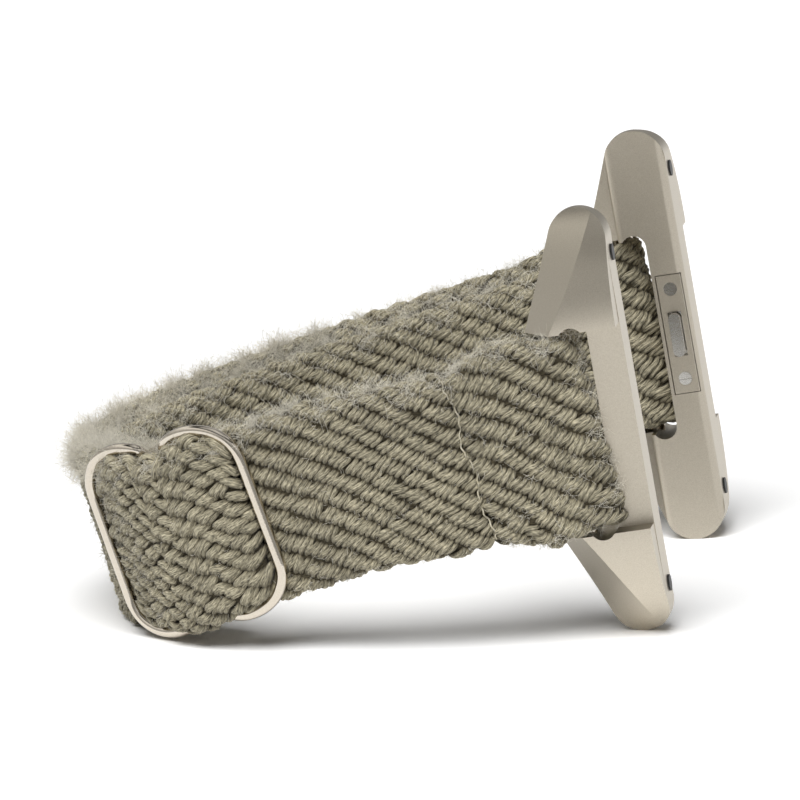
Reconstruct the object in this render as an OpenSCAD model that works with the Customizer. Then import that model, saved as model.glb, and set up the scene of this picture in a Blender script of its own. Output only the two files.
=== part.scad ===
// Stretch webbing watch strap with a wire slider and two lug adapters.
// It stands on one edge, closed in a loop, as it does on a table: the slider's lower corner
// and the lower tips of the two adapters touch the ground. Millimetres, +Z up.
// The loop is drawn flat in its own plane first, then leaned over as a whole.

/* [Webbing] */
// Width of the webbing round the bend and along the far run
strap_w = 13.4; // [12.4:0.1:14]
// Width where the slider draws the near run in
run_w = 12.2; // [11:0.1:12.4]
// Width of the second, inner layer
inner_w = 12.6; // [11:0.1:13]
// Width where an end folds round an adapter bar
end_w = 13.4; // [13:0.1:13.5]
// How much wider the webbing flares beside that fold
end_flare = 1.6; // [0:0.1:1.7]
// Thickness of one layer
layer_t = 1.5; // [1.1:0.05:1.7]
// Thickness of a layer where it is pulled tight round an adapter bar
leg_t = 1.1; // [0.8:0.05:1.2]
// Gap between the two layers
layer_gap = 0.2; // [0.1:0.05:0.4]
// Bevel of the webbing's edges
edge_bevel = 0.35; // [0.2:0.05:0.45]

/* [Loop] */
// Radius of the near run, the arc that the slider follows
near_r = 36.8; // [34:0.2:40]
// Length of the near run from its bar to the bend
near_len = 37.2; // [35:0.2:39]
// Radius of the tight turn behind the slider
corner_r = 6.7; // [5.5:0.1:8]
// Angle of that turn in degrees
corner_turn = 21; // [18:1:24]
// Radius of the end bend
bend_r = 16.2; // [15:0.1:17.5]
// Direction in degrees in which the bend goes over into the far run
far_heading = 27; // [25:1:29]
// Radius of the far run
far_r = 85; // [75:1:95]
// Length of the far run
far_len = 30.6; // [28:0.2:33]
// Length of an end that is folded round its bar
end_len = 7.7; // [7:0.1:9]
// Lean of the loop's plane in degrees
loop_lean = 14.15; // [12:0.05:16]
// Angle in degrees by which the adapters stand more upright than the webbing
adapter_twist = 7.6; // [5:0.1:9]
// How far the adapter bars lie below the middle of the webbing
bar_drop = 0.55; // [0.2:0.05:0.7]

/* [Slider] */
// Wire diameter of the slider
wire_d = 0.75; // [0.6:0.05:0.9]
// Diameter of the slider's centre bar
centre_bar_d = 0.8; // [0.6:0.05:0.9]
// Half the slider's length between the middles of its side wires
slider_half_l = 7.2; // [7:0.1:7.8]
// Half the slider's width at the top of its two lobes
slider_half_w = 7.1; // [7:0.05:7.6]
// Half the length of the lobes' round ends, along the webbing
lobe_l = 4; // [3.5:0.1:4.2]
// Height of the lobes' round ends, across the webbing
lobe_h = 3; // [2.6:0.1:3.4]
// Place of the slider along the near run, from the near bar
slider_s = 31.4; // [30.6:0.1:31.8]
// Lean in degrees of the slider on the webbing
slider_lean = 3.5; // [0:0.5:4]
// Gap between the slider's wires and the webbing
slider_gap = 0.2; // [0.15:0.05:0.3]
// Thickness of the end sewn round the centre bar
sewn_t = 0.8; // [0.6:0.05:0.9]
// Length of that end
sewn_leg_l = 3.8; // [3:0.1:4]
// Height of the webbing's rise between the side wires
rise_h = 1.4; // [1:0.1:1.8]

/* [Adapters] */
// Length of an adapter
adapter_l = 31.5; // [30.5:0.1:32]
// Diameter of the strap bar
bar_d = 1.5; // [1.3:0.05:1.6]
// Gap between the strap bar and the webbing round it
bar_gap = 0.12; // [0.08:0.02:0.2]
// Length of the slot that takes the webbing, with its round ends
slot_l = 15.7; // [15.5:0.1:16.2]
// Width of that slot
slot_w = 1.9; // [1.8:0.05:2]
// Distance from the bar's middle to the slot's middle
slot_x = 1.2; // [1.15:0.05:1.4]
// Width of the sliding tongue
tongue_w = 4.6; // [4.4:0.1:4.8]
// Thickness of the sliding tongue
tongue_t = 3.5; // [3.3:0.1:3.8]
// Depth to which the strap bar sits in each wing
bar_seat = 0.8; // [0.5:0.05:0.9]
// Radius of the case's corners, which the outer face of an adapter follows
case_corner_r = 10; // [9:0.5:12]
// Width of the case that the adapters fit
case_w = 34.8; // [34:0.1:36]
// Travel of the latch button
latch_travel = 0.6; // [0.4:0.05:0.65]
// Length of the latch button
latch_l = 3.3; // [2.8:0.1:3.6]
// Width of the latch button
latch_w = 0.9; // [0.7:0.05:1]
// Wire diameter of the latch spring
spring_wire = 0.16; // [0.12:0.01:0.18]
// Thickness of the latch cover
cover_t = 0.4; // [0.3:0.05:0.5]
// Diameter of the end pads
pad_d = 1.2; // [0.9:0.1:1.4]

/* [Hidden] */

// Where the near run starts beside its bar, and the direction it takes, in the loop's plane
start_x = -0.2;
start_y = -19.66;
start_heading = 198;
start = [start_x, start_y, start_heading];
// Offsets that bring the middle of the footprint to the origin and the lowest point to the ground
shift_x = 17.07;
shift_y = 0.26;
ground_lift = 16.08;
// Colours as photographed
webbing_colour = [0.55, 0.52, 0.44];
thread_colour = [0.78, 0.74, 0.62];
nickel_colour = [0.78, 0.74, 0.69];
steel_colour = [0.68, 0.66, 0.62];
pad_colour = [0.14, 0.14, 0.14];

bar_offset = bar_d / 2 + bar_gap + leg_t / 2;
layer_step = layer_t + layer_gap;
// The webbing's path: arcs that turn clockwise, each point as x, y, direction
function along(q, r, len) = let (h = q[2] - len / r * 180 / PI)
    [q[0] + r * (sin(q[2]) - sin(h)), q[1] + r * (cos(h) - cos(q[2])), h];
corner_len = corner_r * corner_turn * PI / 180;
near_end_point = along(start, near_r, near_len);
corner_end_point = along(near_end_point, corner_r, corner_len);
bend_len = bend_r * (corner_end_point[2] - far_heading) * PI / 180;
bend_end_point = along(corner_end_point, bend_r, bend_len);
far_start_s = near_len + corner_len + bend_len;
total_s = far_start_s + far_len;
function path(s) = s <= near_len ? along(start, near_r, s)
    : s <= near_len + corner_len ? along(near_end_point, corner_r, s - near_len)
    : s <= far_start_s ? along(corner_end_point, bend_r, s - near_len - corner_len)
    : along(bend_end_point, far_r, s - far_start_s);
function inward(h) = [sin(h), -cos(h), 0];
function spot(s, d) = let (q = path(s)) [q[0], q[1], 0] + d * inward(q[2]);
near_bar = spot(0, bar_offset) - [0, 0, bar_drop];
far_bar = spot(total_s, bar_offset) - [0, 0, bar_drop];

// The near run is an arc round this point, and so is everything that the slider does
near_centre = spot(0, near_r);
function arc_angle(s) = start_heading + 90 - s / near_r * 180 / PI;
side_level = layer_t / 2 + slider_gap + wire_d / 2;
sewn_gap = 0.08;
sewn_offset = centre_bar_d / 2 + sewn_gap + sewn_t / 2;
bar_level = -(layer_t / 2 + slider_gap + sewn_t / 2 + sewn_offset);
waist_half = run_w / 2 + slider_gap + wire_d / 2;

// Ribbon stations: [place, outward direction, width direction, width, thickness]
function twist_at(u) = let (k = max(0, 1 - u / end_len)) adapter_twist * k;
function drop_at(u) = -bar_drop * max(0, 1 - pow(u / end_len * 1.5, 2));
function blend_to(a, b, u) = a + (b - a) * min(1, max(0, u / end_len));
flare_from = 2;
function flare_at(u) = u < flare_from ? 0
    : end_flare * pow(sin(180 * (u - flare_from) / (end_len - flare_from)), 2);
function up_at(u) = [sin(twist_at(u)), 0, cos(twist_at(u))];
function leg_station(s, u, d, side, w, flare) = let (q = path(s))
    [spot(s, d) + [0, 0, drop_at(u)], side * inward(q[2]), up_at(u),
        blend_to(end_w, w, u) + flare, blend_to(leg_t, layer_t, u)];
function plain_station(s, d, w) = let (q = path(s))
    [spot(s, d), -inward(q[2]), [0, 0, 1], w, layer_t];
function bevelled(w, t) = let (c = min(edge_bevel, t * 0.4))
    [[-t / 2, -w / 2 + c], [-t / 2, w / 2 - c], [-t / 2 + c, w / 2], [t / 2 - c, w / 2],
        [t / 2, w / 2 - c], [t / 2, -w / 2 + c], [t / 2 - c, -w / 2], [-t / 2 + c, -w / 2]];
function ribbon_ring(st) = [for (p = bevelled(st[3], st[4])) st[0] + p[0] * st[1] + p[1] * st[2]];

// A closed solid through rings with the same number of points
module skin_rings(rings, closed = false) {
    n = len(rings);
    m = len(rings[0]);
    last = closed ? n - 1 : n - 2;
    sides = [for (i = [0 : last]) for (j = [0 : m - 1]) let (k = (i + 1) % n, l = (j + 1) % m)
        each [[i * m + j, k * m + j, k * m + l], [i * m + j, k * m + l, i * m + l]]];
    caps = closed ? [] : [[for (j = [0 : m - 1]) j], [for (j = [m - 1 : -1 : 0]) (n - 1) * m + j]];
    polyhedron(points = [for (r = rings) each r], faces = concat(sides, caps));
}

module ribbon(stations) {
    skin_rings([for (st = stations) ribbon_ring(st)]);
}

module in_loop() {
    translate([shift_x, shift_y, ground_lift]) rotate([0, -loop_lean, 0]) children();
}

module on_arc(s, level = 0) {
    translate(near_centre) rotate([0, 0, arc_angle(s)]) translate([near_r + level, 0, 0]) children();
}

// Webbing

module near_run() {
    color(webbing_colour) in_loop() translate(near_centre) rotate([0, 0, arc_angle(near_len)])
        rotate_extrude(angle = (near_len - end_len) / near_r * 180 / PI, $fn = 180)
            translate([near_r, 0]) polygon(bevelled(run_w, layer_t));
}

// An end that goes round a bar: outer leg, turn, inner leg. at_near picks the end.
function end_s(u, at_near) = at_near ? u : total_s - u;
function hairpin(at_near, inner_leg_w) = let (
        bar = at_near ? near_bar : far_bar,
        h = path(end_s(0, at_near))[2],
        turn_from = h + 90,
        sense = at_near ? 1 : -1,
        legs = 7, turns = 8)
    concat(
        [for (i = [0 : legs - 1]) let (u = end_len * (1 - i / legs))
            leg_station(end_s(u, at_near), u, 0, -1, at_near ? run_w : strap_w, flare_at(u))],
        [for (i = [0 : turns]) let (a = turn_from + sense * 180 * i / turns, o = [cos(a), sin(a), 0])
            [bar + bar_offset * o, o, up_at(0), end_w - 0.3 * i / turns, leg_t]],
        [for (i = [1 : legs]) let (u = end_len * i / legs)
            leg_station(end_s(u, at_near), u, blend_to(2 * bar_offset, layer_step, u), 1,
                inner_leg_w, -0.3)]);

module near_end_loop() {
    color(webbing_colour) in_loop() ribbon(hairpin(true, run_w));
}

module far_end_loop() {
    color(webbing_colour) in_loop() ribbon(hairpin(false, inner_w));
}

module run_of(s0, s1, d, w, steps) {
    color(webbing_colour) in_loop()
        ribbon([for (i = [0 : steps]) plain_station(s0 + (s1 - s0) * i / steps, d, w)]);
}

module bend_outer_layer() {
    run_of(near_len, far_start_s, 0, strap_w, 22);
}

// The inner layer starts a little past the end that is sewn round the slider's bar
inner_gap = 1.2;
inner_start_s = slider_s + sewn_leg_l + inner_gap;

module bend_inner_layer() {
    run_of(inner_start_s, far_start_s, layer_step, inner_w, 22);
}

module far_outer_run() {
    run_of(far_start_s, total_s - end_len, 0, strap_w, 8);
}

module far_inner_run() {
    run_of(far_start_s, total_s - end_len, layer_step, inner_w, 8);
}

// Seam threads: short stitches that lie on both faces of the two sewn layers
stitch_count = 7;
stitch_l = 1.2;
stitch_d = 0.24;
stitch_pitch = 1.6;

module stitch() {
    translate([0, 0, -stitch_l / 2]) cylinder(d = stitch_d, h = stitch_l, $fn = 24);
}

module stitch_row(levels) {
    for (level = levels) for (i = [0 : stitch_count - 1])
        translate([level, 0, (i - (stitch_count - 1) / 2) * stitch_pitch]) stitch();
}

seam_s = end_len + 0.3;

module near_seam_thread() {
    face = layer_t / 2 + stitch_d / 2 + 0.02;
    color(thread_colour) in_loop() on_arc(seam_s) stitch_row([face, -face]);
}

// Slider: two lobes of one wire, a centre bar below the webbing, and the end sewn round that bar

function lobe_point(a) =
    [slider_half_l - lobe_l + lobe_l * cos(a), slider_half_w - lobe_h + lobe_h * sin(a)];
wire_quarter = concat([for (u = [0.01, 0.6, 1.2]) [u, waist_half]],
    [for (i = [0 : 10]) let (a = 120 - i * 12, q = lobe_point(a))
        a > 90 ? [q[0], max(q[1], waist_half)] : q]);
wire_right = concat(wire_quarter, [[slider_half_l, 0]],
    [for (i = [len(wire_quarter) - 1 : -1 : 0]) [wire_quarter[i][0], -wire_quarter[i][1]]]);
wire_route = concat(wire_right,
    [for (i = [len(wire_right) - 1 : -1 : 0]) [-wire_right[i][0], wire_right[i][1]]]);
// The wire dives from its level beside the webbing to the bar's level over this length
dive_l = 3;
function wire_level(u) = let (k = min(abs(u) / dive_l, 1))
    bar_level + (side_level - bar_level) * k * k * (3 - 2 * k);
// Width direction of what leans with the slider, at a place along it
function slider_angle(u) = arc_angle(slider_s) + u * cos(slider_lean) / near_r * 180 / PI;
function slider_up(u) = let (a = slider_angle(u))
    [sin(slider_lean) * sin(a), -sin(slider_lean) * cos(a), cos(slider_lean)];
// A point of the slider by its place along the webbing, across it, and above it
function slider_point(u, z, level) = let (
        along_u = u * cos(slider_lean) - z * sin(slider_lean),
        a = arc_angle(slider_s) + along_u / near_r * 180 / PI)
    near_centre + [(near_r + level) * cos(a), (near_r + level) * sin(a),
        u * sin(slider_lean) + z * cos(slider_lean)];
function unit(v) = v / norm(v);
function tube_ring(p, t, r, n) = let (
        radial = unit([p[0] - near_centre[0], p[1] - near_centre[1], 0]),
        e = unit(radial - (radial * t) * t),
        f = cross(t, e))
    [for (j = [0 : n - 1]) p + r * (cos(360 * j / n) * e + sin(360 * j / n) * f)];

module slider_frame() {
    pts = [for (q = wire_route) slider_point(q[0], q[1], wire_level(q[0]))];
    n = len(pts);
    rings = [for (i = [0 : n - 1])
        tube_ring(pts[i], unit(pts[(i + 1) % n] - pts[(i + n - 1) % n]), wire_d / 2, 12)];
    color(nickel_colour) in_loop() skin_rings(rings, closed = true);
}

module slider_centre_bar() {
    color(nickel_colour) in_loop() on_arc(slider_s, bar_level) rotate([slider_lean, 0, 0])
        cylinder(d = centre_bar_d, h = 2 * waist_half, center = true, $fn = 32);
}

// The rise is highest over the centre bar and dives under the side wires
function rise_at(k) = 0.12 + rise_h * pow(cos(90 * k), 0.75);
// Half the width that is free inside the lobes, at a place along the slider
function lobe_inside(u) = let (
        margin = wire_d / 2 + slider_gap,
        k = max(0, abs(u) - slider_half_l + lobe_l) / (lobe_l - margin))
    slider_half_w - lobe_h + (lobe_h - margin) * sqrt(max(0, 1 - k * k));

module webbing_over_bar() {
    reach = slider_half_l - wire_d / 2 - 3 * slider_gap;
    steps = 20;
    base = layer_t / 2 + 0.15;
    stations = [for (i = [steps : -1 : 0]) let (
            k = -1 + 2 * i / steps,
            u = k * reach,
            t = rise_at(abs(k) * 0.985),
            a = slider_angle(u))
        [slider_point(u, 0, base + t / 2), [cos(a), sin(a), 0], slider_up(u),
            min(run_w - 0.2 + 0.8 * t, 2 * lobe_inside(u)), t]];
    color(webbing_colour) in_loop() ribbon(stations);
}

module slider_end_loop() {
    legs = 4;
    turns = 8;
    w = run_w - 0.4;
    function leg(k, level, side) = let (u = -sewn_leg_l * k, a = slider_angle(u))
        [slider_point(u, 0, bar_level + level), side * [cos(a), sin(a), 0], slider_up(u), w, sewn_t];
    a0 = slider_angle(0);
    ahead = [-sin(a0) * cos(slider_lean), cos(a0) * cos(slider_lean), sin(slider_lean)];
    stations = concat(
        [for (i = [0 : legs - 1]) leg(1 - i / legs, sewn_offset, 1)],
        [for (i = [0 : turns]) let (
                f = 180 * i / turns,
                o = cos(f) * [cos(a0), sin(a0), 0] + sin(f) * ahead)
            [slider_point(0, 0, bar_level) + sewn_offset * o, o, slider_up(0), w, sewn_t]],
        [for (i = [1 : legs]) leg(i / legs, -sewn_offset, -1)]);
    color(webbing_colour) in_loop() ribbon(stations);
}

module slider_seam_thread() {
    level = bar_level - sewn_offset - sewn_t / 2 - stitch_d / 2 - 0.02;
    color(thread_colour) in_loop() on_arc(slider_s + sewn_leg_l - 0.9) rotate([slider_lean, 0, 0])
        stitch_row([level]);
}

// Adapters. Their own frame has the strap bar on Z, +X towards the case and +Y into the loop.

wing_z = slot_l / 2 - 0.4;
rail_w = 2.5;
tongue_x = slot_x + slot_w / 2 + rail_w - tongue_w;
tongue_y = -0.2;
tongue_back = tongue_y + tongue_t;
tongue_round = 0.6;
tip_r = tongue_w / 2;
tip_x = tongue_x + tip_r;
tip_z = adapter_l / 2 - tip_r;
outer_y = -2.15;
latch_x = tongue_x + tongue_w - rail_w / 2;
latch_gap = 0.05;
flange_l = latch_l + 1.3;
flange_w = latch_w + 0.3;
flange_t = 0.6;
flange_top = tongue_back - cover_t - latch_gap;
flange_bottom = flange_top - flange_t;
pocket_floor = flange_bottom - 1.15;
cover_l = 9.1;
cover_w = 1.9;
screw_z = 3.45;
screw_shank_d = 0.6;
screw_head_d = 1;
pad_z = 12.3;
pad_depth = 0.8;
pad_proud = 0.15;
bar_l = 2 * (wing_z + bar_seat);

// Depth of the adapter's outer face at a height, along the case's round corner
function face_y(z) = let (a = max(0, z - (case_w / 2 - case_corner_r)))
    outer_y + case_corner_r - sqrt(case_corner_r * case_corner_r - a * a);

// Side view of one wing: a slanted edge that runs into the round tip
module wing_outline() {
    slope = 0.4;
    k = 1 / sqrt(1 + slope * slope);
    edge_top = [tip_x - tip_r * k, tip_z + tip_r * slope * k];
    translate([tip_x, tip_z]) circle(r = tip_r, $fn = 96);
    polygon([[edge_top[0] - (edge_top[1] - wing_z) * slope, wing_z], edge_top, [tip_x, tip_z],
        [tip_x + tip_r, tip_z], [3.4, wing_z]]);
}

// One wing: a bevelled face and the outer face meet in a ridge from the tip down to the webbing.
// Its body is joined from sections at three heights, each with a left edge and a crease.
module wing_block(right, lead, back) {
    slice = 0.01;
    function section(z, left, crease) = [z, [[left[0], left[1] + back], left, [crease, face_y(z)],
        [right, face_y(z) - lead], [right, left[1] + back]]];
    hull() for (q = [section(wing_z, [-2.6, 1.15], -0.4), section(11.6, [-0.9, 2], 2.45),
        section(adapter_l / 2 - slice, [0.75, 2.7], 4.4)])
            translate([0, 0, q[0]]) linear_extrude(slice) polygon(q[1]);
}

module wing() {
    intersection() {
        wing_block(4.6, 0.25, 0.6);
        rotate([90, 0, 0]) linear_extrude(12, center = true) wing_outline();
    }
}

// Outline of the case as the adapter sees it, which trims the ends of the adapter
module case_outline() {
    flat = case_w / 2 - case_corner_r;
    middle_y = outer_y + case_corner_r;
    rotate([90, 0, 90]) linear_extrude(16, center = true) {
        translate([outer_y, -flat]) square([case_corner_r, 2 * flat]);
        for (z = [-flat, flat]) translate([middle_y, z]) circle(r = case_corner_r, $fn = 96);
    }
}

module tongue_section() {
    translate([tongue_x, tongue_y]) square([tongue_w, tongue_t - tongue_round]);
    translate([tongue_x + tongue_round, tongue_y]) square([tongue_w - 2 * tongue_round, tongue_t]);
    for (x = [tongue_x + tongue_round, tongue_x + tongue_w - tongue_round])
        translate([x, tongue_back - tongue_round]) circle(r = tongue_round, $fn = 32);
}

// The tongue is whole between the wings, and stays behind their faces from there to its ends
module tongue_room() {
    cube([20, 20, 2 * wing_z], center = true);
    for (up = [0, 1]) mirror([0, 0, up]) wing_block(8, 0.6, 5);
}

module tongue_outline() {
    end = adapter_l / 2 - tongue_w / 2;
    translate([tongue_x, -end]) square([tongue_w, 2 * end]);
    for (z = [-end, end]) translate([tongue_x + tongue_w / 2, z]) circle(d = tongue_w, $fn = 64);
}

module strap_slot() {
    straight = slot_l - slot_w;
    translate([slot_x, -6, 0]) rotate([-90, 0, 0]) {
        translate([-slot_w / 2, -straight / 2, 0]) cube([slot_w, straight, 12]);
        for (z = [-straight / 2, straight / 2]) translate([0, z, 0]) cylinder(d = slot_w, h = 12, $fn = 48);
    }
    translate([slot_x - 8, -6, -wing_z]) cube([8, 12, 2 * wing_z]);
}

module adapter_body() {
    color(steel_colour) difference() {
        intersection() {
            union() {
                intersection() {
                    linear_extrude(adapter_l + 1, center = true) tongue_section();
                    rotate([90, 0, 0]) linear_extrude(12, center = true) tongue_outline();
                    tongue_room();
                }
                wing();
                mirror([0, 0, 1]) wing();
            }
            case_outline();
        }
        strap_slot();
        cylinder(d = bar_d, h = bar_l, center = true, $fn = 48);
        translate([latch_x - flange_w / 2 - latch_gap, pocket_floor, -flange_l / 2 - latch_gap])
            cube([flange_w + 2 * latch_gap, tongue_t, flange_l + 2 * latch_gap]);
        translate([latch_x - cover_w / 2 - latch_gap, tongue_back - cover_t, -cover_l / 2 - latch_gap])
            cube([cover_w + 2 * latch_gap, 1, cover_l + 2 * latch_gap]);
        for (z = [-screw_z, screw_z]) translate([latch_x, tongue_back - 1.8, z]) rotate([-90, 0, 0])
            cylinder(d = screw_shank_d, h = 2, $fn = 32);
        for (z = [-pad_z, pad_z]) translate([tongue_x + tongue_w - pad_depth, tongue_y + tongue_t / 2, z])
            rotate([0, 90, 0]) cylinder(d = pad_d, h = 2, $fn = 32);
    }
}

module strap_bar() {
    color(nickel_colour) cylinder(d = bar_d, h = bar_l, center = true, $fn = 48);
}

module latch_button() {
    color(nickel_colour) {
        translate([latch_x - latch_w / 2, flange_bottom, -latch_l / 2 + latch_w / 2])
            cube([latch_w, tongue_back + latch_travel - flange_bottom, latch_l - latch_w]);
        for (z = [-1, 1] * (latch_l - latch_w) / 2) translate([latch_x, flange_bottom, z])
            rotate([-90, 0, 0])
                cylinder(d = latch_w, h = tongue_back + latch_travel - flange_bottom, $fn = 32);
        translate([latch_x - flange_w / 2, flange_bottom, -flange_l / 2])
            cube([flange_w, flange_t, flange_l]);
    }
}

// The spring's wire climbs three turns from the pocket's floor to the button's flange
module latch_spring() {
    turns = 3;
    per_turn = 12;
    coil_r = 0.42;
    rise = flange_bottom - pocket_floor - spring_wire;
    n = turns * per_turn;
    function coil_point(i) = [latch_x + coil_r * cos(360 * i / per_turn),
        pocket_floor + spring_wire / 2 + rise * i / n, coil_r * sin(360 * i / per_turn)];
    rings = [for (i = [0 : n]) let (
            t = unit(coil_point(i + 1) - coil_point(i - 1)),
            e = unit(cross(t, [0, 1, 0])),
            f = cross(t, e))
        [for (j = [0 : 5]) coil_point(i) + spring_wire / 2 * (cos(60 * j) * e + sin(60 * j) * f)]];
    color(nickel_colour) skin_rings(rings);
}

module latch_cover() {
    color(steel_colour) difference() {
        translate([latch_x - cover_w / 2, tongue_back - cover_t, -cover_l / 2])
            cube([cover_w, cover_t, cover_l]);
        translate([latch_x - latch_w / 2 - latch_gap, tongue_back - 1, -latch_l / 2 - latch_gap])
            cube([latch_w + 2 * latch_gap, 2, latch_l + 2 * latch_gap]);
        for (z = [-screw_z, screw_z]) translate([latch_x, tongue_back - 1, z]) rotate([-90, 0, 0])
            cylinder(d = screw_shank_d, h = 2, $fn = 32);
        for (z = [-screw_z, screw_z]) translate([latch_x, tongue_back - cover_t / 2, z]) rotate([-90, 0, 0])
            cylinder(d = screw_head_d, h = 1, $fn = 32);
    }
}

module cover_screws() {
    color(nickel_colour) for (z = [-screw_z, screw_z]) translate([latch_x, 0, z]) difference() {
        union() {
            translate([0, tongue_back - 1.7, 0]) rotate([-90, 0, 0])
                cylinder(d = screw_shank_d, h = 1.7 - cover_t / 2, $fn = 32);
            translate([0, tongue_back - cover_t / 2, 0]) rotate([-90, 0, 0])
                cylinder(d = screw_head_d, h = cover_t / 2, $fn = 32);
        }
        translate([-screw_head_d, tongue_back - 0.1, -0.08]) cube([2 * screw_head_d, 1, 0.16]);
    }
}

module end_pads() {
    color(pad_colour) for (z = [-pad_z, pad_z])
        translate([tongue_x + tongue_w - pad_depth, tongue_y + tongue_t / 2, z])
            rotate([0, 90, 0]) cylinder(d = pad_d, h = pad_depth + pad_proud, $fn = 32);
}

module at_near_bar() {
    in_loop() translate(near_bar) rotate([0, adapter_twist, 0]) children();
}

module at_far_bar() {
    in_loop() translate(far_bar) rotate([0, adapter_twist, 0]) mirror([0, 1, 0]) children();
}

module near_adapter_body() { at_near_bar() adapter_body(); }
module near_strap_bar() { at_near_bar() strap_bar(); }
module near_latch_button() { at_near_bar() latch_button(); }
module near_latch_spring() { at_near_bar() latch_spring(); }
module near_latch_cover() { at_near_bar() latch_cover(); }
module near_cover_screws() { at_near_bar() cover_screws(); }
module near_end_pads() { at_near_bar() end_pads(); }
module far_adapter_body() { at_far_bar() adapter_body(); }
module far_strap_bar() { at_far_bar() strap_bar(); }
module far_latch_button() { at_far_bar() latch_button(); }
module far_latch_spring() { at_far_bar() latch_spring(); }
module far_latch_cover() { at_far_bar() latch_cover(); }
module far_cover_screws() { at_far_bar() cover_screws(); }
module far_end_pads() { at_far_bar() end_pads(); }

near_run();
near_end_loop();
near_seam_thread();
bend_outer_layer();
bend_inner_layer();
far_outer_run();
far_inner_run();
far_end_loop();
webbing_over_bar();
slider_end_loop();
slider_seam_thread();
slider_frame();
slider_centre_bar();
near_adapter_body();
near_strap_bar();
near_latch_button();
near_latch_spring();
near_latch_cover();
near_cover_screws();
near_end_pads();
far_adapter_body();
far_strap_bar();
far_latch_button();
far_latch_spring();
far_latch_cover();
far_cover_screws();
far_end_pads();
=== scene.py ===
import math

import bmesh
import bpy
import numpy as np
from mathutils import Matrix, Vector


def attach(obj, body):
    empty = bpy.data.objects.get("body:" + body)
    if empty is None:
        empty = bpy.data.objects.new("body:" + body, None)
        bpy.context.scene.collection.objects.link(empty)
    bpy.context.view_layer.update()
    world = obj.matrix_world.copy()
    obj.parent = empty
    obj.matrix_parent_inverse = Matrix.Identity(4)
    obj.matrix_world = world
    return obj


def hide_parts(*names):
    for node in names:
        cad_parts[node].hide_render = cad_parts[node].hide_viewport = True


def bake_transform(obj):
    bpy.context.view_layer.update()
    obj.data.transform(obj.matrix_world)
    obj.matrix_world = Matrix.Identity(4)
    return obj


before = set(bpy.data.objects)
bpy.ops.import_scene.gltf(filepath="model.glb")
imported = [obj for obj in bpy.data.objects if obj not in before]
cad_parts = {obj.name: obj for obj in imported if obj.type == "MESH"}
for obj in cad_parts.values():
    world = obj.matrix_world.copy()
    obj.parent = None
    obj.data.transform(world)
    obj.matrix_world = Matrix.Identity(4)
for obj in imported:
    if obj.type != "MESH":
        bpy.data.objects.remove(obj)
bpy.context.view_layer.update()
rng = np.random.default_rng(14)

# Sizes below are millimetres in the plane of the strap's loop, before it leans.
MM = 0.001

# Loop of the webbing: arcs that turn clockwise from beside the near bar
START = (-0.2, -19.66, 198.0)
NEAR_R = 36.8
NEAR_LEN = 37.2
CORNER_R = 6.7
CORNER_TURN = 21.0
BEND_R = 16.2
FAR_HEADING = 27.0
FAR_R = 85.0
FAR_LEN = 30.6
END_LEN = 7.7
LOOP_LEAN = 14.15
LOOP_PLACE = (17.07, 0.26, 16.08)
ADAPTER_TWIST = 7.6
BAR_DROP = 0.55

# Webbing. The near run is wider than its CAD node, and the slider squeezes it.
STRAP_W = 13.4
RUN_W = 13.0
INNER_W = 12.2
INNER_SINK = 0.3
END_W = 14.1
END_FLARE = 1.25
LAYER_T = 1.5
LEG_T = 1.1
LAYER_STEP = 1.7
BAR_OFFSET = 1.42
SEAM_S = 8.0
RISE = 0.6
RISE_END = 27.0
SQUEEZE = 1.3
SQUEEZE_SPREAD = 2.4
GROOVE = 0.6
GROOVE_SPREAD = 0.42

# Slider
SLIDER_S = 31.4
SLIDER_LEAN = 3.5
SLIDER_HALF_L = 7.2
SLIDER_HALF_W = 7.1
LOBE_U = 3.6
LEFT_LOBE_U = 3.15
RIGHT_STRETCH = 1.06
LOBE_H = 3.0
WAIST_U = 0.9
WIRE_R = 0.41
SIDE_LEVEL = 1.325
BAR_LEVEL = -2.23
SEWN_OFFSET = 0.88
SEWN_T = 0.8
SEWN_LEG_L = 3.8
SEWN_W = 12.0
RETURN_L = 3.2

# Weave: ribs lie across the webbing at an angle. Each rib is a row of plump tufts, and each tuft is
# a few strands side by side that lie over the rib.
RIB_STEP = 1.3
RIB_ANGLE = 40.0
TUFT_PITCH = 1.16
TUFT_L = 1.66
TUFT_LEAN = 105.0
STRANDS = 3
STRAND_STEP = 0.385
STRAND_R = 0.235
FAN = 4.0

# Beside the slider and at the near end the ribs lie flatter
FLATTER = 0.22
FLAT_FROM = 13.0
FLAT_OVER = 9.0
END_FLATTER = 0.14
END_FLAT_TO = 11.0
END_FLAT_OVER = 5.0
DRIFT_ROOM = 9

# An adapter's own frame has its strap bar on z, +x away from the webbing and +y into the loop
ADAPTER_HALF = 15.75
TONGUE_X = 0.05
TONGUE_W = 4.6
TONGUE_Y = -0.2
TONGUE_BACK = 3.3
TONGUE_ROUND = 0.6
OUTER_Y = -2.15
RIM_R = 10.0
RIM_FLAT = 7.4
WING_Z = 7.45
SLOT_X = 1.2
SLOT_W = 1.9
SLOT_L = 15.7
BAR_R = 0.75
BAR_HALF = 8.25
LATCH_X = 3.4
SCREW_Z = 3.45
SCREW_R = 0.3
PAD_Z = 12.3
PAD_R = 0.6
PAD_DEPTH = 0.8
EDGE_ROUND = 0.13
RIDGE_ANGLE = math.radians(11)
NODE_EDGE_ANGLE = math.radians(28)

# The latch's pocket and its cover's recess: half width, half length and floor
POCKET = (0.65, 2.35, 1.1)
RECESS = (1.0, 4.6, 2.9)


# The webbing's path

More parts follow.
